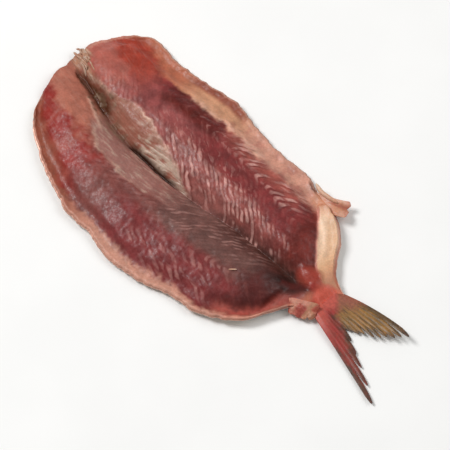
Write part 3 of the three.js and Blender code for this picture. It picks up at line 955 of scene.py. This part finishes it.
def make_tab(material):
    """A torn tab of skin and flesh at the left side of the wrist."""
    points, faces, reach, v, _ = fan(
        rays=4, rows=30,
        root=across(*TAB.root),
        tip=ragged_tip(*TAB.tip, bulge=0.9, seed=59),
        middle_z=lambda reach, v: lerp(3.9, 1.9, reach) + 0.9 * noise(9 * v, 6 * reach, 2.5, seed=58) * reach,
        thickness=lambda reach: 2 - 0.9 * reach,
        fray=lambda v: np.full_like(v, TAB.fray), seed=58, ridge=0,
    )
    x, y, _ = points.T
    blotch = noise(x, y, 2, seed=60)
    make_piece("skin_tab", points, faces, material, "fin", layers(
        torn_tint(x, y),
        (TAB_TAN, rise(v + 0.12 * blotch, 0.5, 0.64)),
        (CLOT_RED, bell((v - 0.5 + 0.1 * blotch) / 0.08) * 0.7),
        (END_SALMON, fall(reach + 0.1 * blotch, 0.15, 0.35) * fall(v, 0.6, 0.8)),
        (FIN_BLOOD, rise(v + 0.1 * blotch, 0.86, 1) * fall(reach, 0.3, 0.9)),
    ))


# Strands: shreds at the neck, a pin bone and a fin spine
SHREDS = 14
SHRED_RADIUS = 0.36
SHRED_LIFT = np.array([0.05, 0.3, 0.35, 0.25, 0])
SHRED_SAG = 0.3
CUT_X = 0.5
PIN_BONE = ([97.9, 99, 100.2], [-14.2, -13.4, -12.5])  # x, and distance from the groove
PIN_BONE_LIFT = [-0.2, 0.25, 0.4]
PIN_BONE_RADIUS = 0.24
FIN_SPINE_RADIUS = 0.85
FIN_SPINE = [(104.5, 26.7, 4.1), (101, 26, 4), (97.5, 25.7, 3.9), (94, 26.4, 4.4)]


def strand(path, radius, rows=16, sides=8):
    """Points and faces of a strand along a smooth path of (x, y, z) points, thinner towards both ends."""
    path = np.array(path, float)
    at = np.linspace(0, 1, rows + 1)
    shares = np.linspace(0, 1, len(path))
    middle = np.stack([through(*zip(shares, axis))(at) for axis in path.T], axis=-1)
    along = np.gradient(middle, axis=0)
    along /= np.linalg.norm(along, axis=1, keepdims=True)
    side = np.cross(along, [0, 0, 1])
    side /= np.linalg.norm(side, axis=1, keepdims=True)
    up = np.cross(side, along)
    turn = np.linspace(0, math.tau, sides, endpoint=False)[None, :, None]
    thick = radius * np.sqrt(np.clip(1 - (2 * at - 1) ** 4, 0.05, 1))[:, None, None]
    points = middle[:, None] + thick * (np.cos(turn) * side[:, None] + np.sin(turn) * up[:, None])
    index = np.arange((rows + 1) * sides).reshape(rows + 1, sides)
    after = np.roll(index, -1, axis=1)
    quads = np.stack([index[:-1], index[1:], after[1:], after[:-1]], axis=-1).reshape(-1, 4).tolist()
    return points.reshape(-1, 3), quads + [index[0].tolist(), index[-1][::-1].tolist()]


def join(parts):
    """Points and faces of several meshes as one."""
    points, faces, start = [], [], 0
    for part_points, part_faces in parts:
        faces += [[start + i for i in face] for face in part_faces]
        points.append(part_points)
        start += len(part_points)
    return np.concatenate(points), faces


def flesh_top(x, d):
    """The point on top of the flesh at a place given by x and the signed distance from the groove."""
    s, d = np.asarray(x, float) / BODY_LENGTH, np.asarray(d, float)
    for _ in range(8):
        half_width = by_side(d >= 0, lambda fillet: fillet.half_width(s)) - FLESH_INSET
        t = np.clip(d / half_width, -1, 1)
        sweep = neck_line(d >= 0, np.abs(t), FLESH_INSET)
        s = unit((x - sweep) / (BODY_LENGTH - sweep))
    plan = body_plan(s, t, inset=FLESH_INSET)
    return np.stack([plan.x, plan.y, flesh_height(plan, flesh_marks(plan))], axis=-1)


def make_shreds(material):
    """Loose shreds of fat and membrane at the neck end of the groove. Some hang over the cut."""
    draw = np.random.default_rng(61)
    parts = []
    for _ in range(SHREDS):
        start, length = draw.uniform(-1.8, 4.5), draw.uniform(3, 6.5)
        x = start + length * np.linspace(0, 1, 5)
        over = np.maximum(CUT_X - x, 0)
        d = draw.uniform(2.2, 6.4) * (1 - 0.03 * x) + np.cumsum(draw.uniform(-0.4, 0.4, 5))
        lift = SHRED_LIFT * draw.uniform(0.6, 1.6)
        path = flesh_top(x + over, d)
        path[:, 0] -= over
        path[:, 2] += lift - SHRED_SAG * over
        parts.append(strand(path, SHRED_RADIUS * draw.uniform(0.7, 1.4)))
    points, faces = join(parts)
    blotch = noise(*points.T[:2], 2, seed=62)
    tint = layers(NECK_FAT, (STRIP_CREAM, rise(blotch, -0.4, 0.6) * 0.7))
    make_piece("neck_shreds", points, faces, material, "flesh", tint)


def make_bones(material):
    """A pin bone left in the left fillet, and a fin spine that lies on the right lining before the flap."""
    bone = flesh_top(*np.array(PIN_BONE))
    bone[:, 2] += PIN_BONE_LIFT
    for name, path, radius, slot in (
        ("pin_bone", bone, PIN_BONE_RADIUS, "flesh"),
        ("fin_spine", FIN_SPINE, FIN_SPINE_RADIUS, "fin"),
    ):
        points, faces = strand(path, radius)
        tint = layers(SPINE_WHITE, (FLAP_PINK, np.linspace(0.9, 0.3, len(points))))
        make_piece(name, points, faces, material, slot, tint)


# Node materials
SPREAD = (0.3, 0.7)  # where most values of a noise texture lie


class Shading:
    """A new material with a Principled shader, and short calls that add nodes to it."""

    def __init__(self, name, **constants):
        self.material = bpy.data.materials.new(name)
        self.material.use_nodes = True
        self.tree = self.material.node_tree
        self.shader = self.tree.nodes["Principled BSDF"]
        self.set(self.shader, {socket.replace("_", " "): value for socket, value in constants.items()})

    def set(self, target, inputs):
        """Gives a node's inputs values, or links them to outputs of other nodes."""
        for key, value in inputs.items():
            if isinstance(value, bpy.types.NodeSocket):
                self.tree.links.new(value, target.inputs[key])
            else:
                target.inputs[key].default_value = value

    def node(self, kind, inputs, **settings):
        """The outputs of a new node."""
        made = self.tree.nodes.new("ShaderNode" + kind)
        for setting, value in settings.items():
            setattr(made, setting, value)
        self.set(made, inputs)
        return made.outputs

    def math(self, operation, *values):
        return self.node("Math", dict(enumerate(values)), operation=operation)[0]

    def times(self, first, second):
        return self.math("MULTIPLY", first, second)

    def plus(self, first, second):
        return self.math("ADD", first, second)

    def attribute(self, name, output="Fac"):
        return self.node("Attribute", {}, attribute_name=name)[output]

    def mix(self, share, first, second):
        second = (*(float(channel) for channel in second), 1.0)
        return self.node("Mix", {0: share, 6: first, 7: second}, data_type="RGBA")[2]

    def map(self, value, low, high, to_low, to_high):
        inputs = {"Value": value, "From Min": low, "From Max": high, "To Min": to_low, "To Max": to_high}
        return self.node("MapRange", inputs, interpolation_type="SMOOTHSTEP")[0]

    def noise(self, vector, scale, detail):
        return self.node("TexNoise", {"Vector": vector, "Scale": scale, "Detail": detail})[0]

    def stretched(self, vector, scale):
        return self.node("VectorMath", {0: vector, 1: scale}, operation="MULTIPLY")[0]

    def place(self):
        """Coordinates on the fish in millimetres."""
        return self.stretched(self.node("TexCoord", {})["Object"], (1 / MM,) * 3)

    def lit(self, colour, bright):
        """A colour made brighter or darker."""
        return self.node("HueSaturation", {"Value": bright, "Color": colour})[0]

    def finish(self, colour, roughness, height, relief, strength):
        """Gives the shader its colour, its roughness and a bump of `relief` millimetres."""
        bump = self.node("Bump", {"Height": height, "Distance": relief * MM, "Strength": strength})[0]
        self.set(self.shader, {"Base Color": colour, "Roughness": roughness, "Normal": bump})
        return self.material


WAVER = 0.4
LINE_APART = 7.31  # keeps the dashes of one pale line apart from those of the next
DASH_SCALE = 0.28
STREAK_AND_HIGHLIGHT_SHARE = 0.85
EVEN_SHARE = 0.3  # how much of the marbling stays where there is no muscle
FIBRE_BUMP = 0.5
FINE_BUMP = 0.2
STREAK_AND_GLINT_BUMP = 0.6


def chevron_streaks(n, grain, place):
    """Shares of the pale lines of tissue between the muscle's leaves, partly painted highlight, and of
    painted shade behind them.
    """
    along, from_groove, side = n.node("SeparateXYZ", {0: grain})
    waver = n.map(n.noise(place, 0.25, 2.0), 0.25, 0.75, -WAVER, WAVER)
    turns = n.math("DIVIDE", n.plus(along, waver), CHEVRON_PITCH)
    line_number = n.times(n.math("FLOOR", turns), LINE_APART)
    on_line = n.node("CombineXYZ", {0: line_number, 1: n.times(from_groove, DASH_SCALE), 2: side})[0]
    broken = n.map(n.noise(on_line, 1.0, 2.0), 0.46, 0.58, 0, 1)
    broken = n.times(broken, n.map(n.noise(place, 0.11, 2.0), 0.36, 0.6, 0.4, 1))
    for at, width, weight in (CHEVRON_LINE, CHEVRON_PAINTED_SHADE):
        off_line = n.math("ABSOLUTE", n.math("SUBTRACT", n.math("FRACT", turns), at))
        yield n.times(n.map(off_line, width / 3, width, weight, 0), broken)


def flesh_material():
    n = Shading(
        "moist_flesh",
        Subsurface_Weight=0.05, Subsurface_Scale=0.001, Subsurface_Radius=(1.0, 0.3, 0.2),
        Specular_IOR_Level=0.27, Coat_Weight=0.02, Coat_Roughness=0.25,
    )
    muscle, stringy, gain, specks = map(n.attribute, ("muscle", "stringy", "chevrons", "specks"))
    grain, lie = n.attribute("grain", "Vector"), n.attribute("lie", "Vector")
    place = n.place()
    line, painted_shade = chevron_streaks(n, grain, place)
    # painted glints: small pale specks of light
    painted_glint = n.map(n.noise(n.stretched(grain, (0.55, 0.4, 1)), 1.0, 2.0), 0.52, 0.66, 0, 0.4)
    # pale lines of tissue, partly painted highlight, together with the painted glints
    streak_and_glint = n.math("MAXIMUM", n.times(line, gain), n.times(painted_glint, specks))
    fibre = n.noise(n.stretched(grain, (0.6, 0.22, 1)), 1.0, 1.5)
    string = n.noise(n.stretched(lie, (0.13, 1.2, 1)), 1.0, 4.0)
    colour = n.attribute("tint", "Color")
    for share, over in (
        # painted shade behind the pale lines
        (n.times(painted_shade, gain), WINE_DARK),
        (n.times(streak_and_glint, STREAK_AND_HIGHLIGHT_SHARE), STREAK_AND_HIGHLIGHT),
        (n.times(n.map(fibre, 0.5, 0.72, 0, 0.15), muscle), PINK_FLESH),
        (n.times(n.map(fibre, 0.28, 0.48, 0.2, 0), muscle), WINE_DARK),
        (n.times(n.map(string, 0.5, 0.68, 0, 0.5), stringy), STRIP_CREAM),
        (n.times(n.map(string, 0.32, 0.48, 0.4, 0), stringy), VALLEY_BROWN),
    ):
        colour = n.mix(share, colour, over)
    marble, fine = n.noise(place, 0.28, 5.0), n.noise(place, 1.6, 3.0)
    uneven = n.plus(n.times(muscle, 1 - EVEN_SHARE), EVEN_SHARE)
    bright = n.plus(n.times(n.map(marble, *SPREAD, -0.24, 0.24), uneven), 1)
    bright = n.times(bright, n.map(fine, *SPREAD, 0.93, 1.07))
    height = n.plus(n.times(string, stringy), n.times(fibre, n.times(muscle, FIBRE_BUMP)))
    height = n.plus(n.plus(height, n.times(fine, FINE_BUMP)), n.times(streak_and_glint, STREAK_AND_GLINT_BUMP))
    roughness = n.map(fine, *SPREAD, 0.3, 0.52)
    return n.finish(n.lit(colour, bright), roughness, height, relief=0.2, strength=0.6)


def skin_material():
    n = Shading("silver_skin", Metallic=0.25, Coat_Weight=0.3, Coat_Roughness=0.15)
    fine = n.noise(n.place(), 1.1, 4.0)
    colour = n.lit(n.attribute("tint", "Color"), n.map(fine, *SPREAD, 0.8, 1.15))
    roughness = n.map(n.attribute("scales"), 0, 1, 0.26, 0.48)
    return n.finish(colour, roughness, fine, relief=0.12, strength=0.5)


def fin_material(name, contrast, relief):
    n = Shading(name, Subsurface_Weight=0.1, Subsurface_Scale=0.001, Coat_Weight=0.1, Coat_Roughness=0.3)
    fine = n.noise(n.place(), 1.4, 4.0)
    colour = n.lit(n.attribute("tint", "Color"), n.map(fine, *SPREAD, 1 - contrast, 1 + contrast))
    return n.finish(colour, n.map(fine, *SPREAD, 0.4, 0.6), fine, relief, strength=0.6)


# Studio
CAMERA_AZIMUTH = 46.2
CAMERA_ELEVATION = 62
CAMERA_LENS = 1000
SENSOR_WIDTH = 36
VIEW_WIDTH = 153  # millimetres across the picture at the fish
# Each light's name, place and size in metres, and power in watts
LIGHTS = [("key", (-0.75, -0.35, 1.1), 0.5, 13), ("fill", (0.5, 0.75, 1.0), 0.9, 5.5)]
WORLD = {"Color": (1, 0.99, 0.97, 1), "Strength": 0.3}
FLOOR_SIZE = 4  # metres
FLOOR_COLOUR = (0.95, 0.95, 0.94, 1)


def make_camera(target):
    data = bpy.data.cameras.new("camera")
    data.lens, data.sensor_width = CAMERA_LENS, SENSOR_WIDTH
    camera = add_object("camera", data)
    camera.rotation_euler = math.radians(90 - CAMERA_ELEVATION), 0, math.radians(CAMERA_AZIMUTH)
    distance = VIEW_WIDTH * MM * CAMERA_LENS / SENSOR_WIDTH
    camera.location = target + camera.rotation_euler.to_matrix() @ Vector((0, 0, distance))
    bpy.context.scene.camera = camera


def make_light(name, place, size, power, target):
    data = bpy.data.lights.new(name, "AREA")
    data.size, data.energy = size, power
    light = add_object(name, data)
    light.location = place
    light.rotation_euler = (target - light.location).to_track_quat("-Z", "Y").to_euler()


def make_floor():
    mesh = bpy.data.meshes.new("floor")
    half = FLOOR_SIZE / 2
    corners = [(-half, -half, 0), (half, -half, 0), (half, half, 0), (-half, half, 0)]
    mesh.from_pydata(corners, [], [(0, 1, 2, 3)])
    n = Shading("pale_floor", Roughness=0.7)
    shade = n.map(n.noise(n.place(), 0.02, 3.0), *SPREAD, 0.97, 1)
    n.set(n.shader, {"Base Color": n.lit(FLOOR_COLOUR, shade)})
    mesh.materials.append(n.material)
    floor = add_object("floor", mesh)


def make_studio():
    target = (cad_low + cad_high) / 2
    make_camera(target)
    for light in LIGHTS:
        make_light(*light, target)
    world = bpy.data.worlds.new("studio")
    world.use_nodes = True
    for socket, value in WORLD.items():
        world.node_tree.nodes["Background"].inputs[socket].default_value = value
    bpy.context.scene.world = world
    bpy.context.scene.view_settings.view_transform = "Standard"
    make_floor()


make_studio()
fin = fin_material("fin_web", contrast=0.13, relief=0.12)
scrap = fin_material("moist_scrap", contrast=0.1, relief=0.1)
make_flesh(flesh_material())
make_skin(skin_material())
make_tail_fin(fin)
make_flap(scrap)
make_tab(scrap)
make_shreds(scrap)
make_bones(scrap)
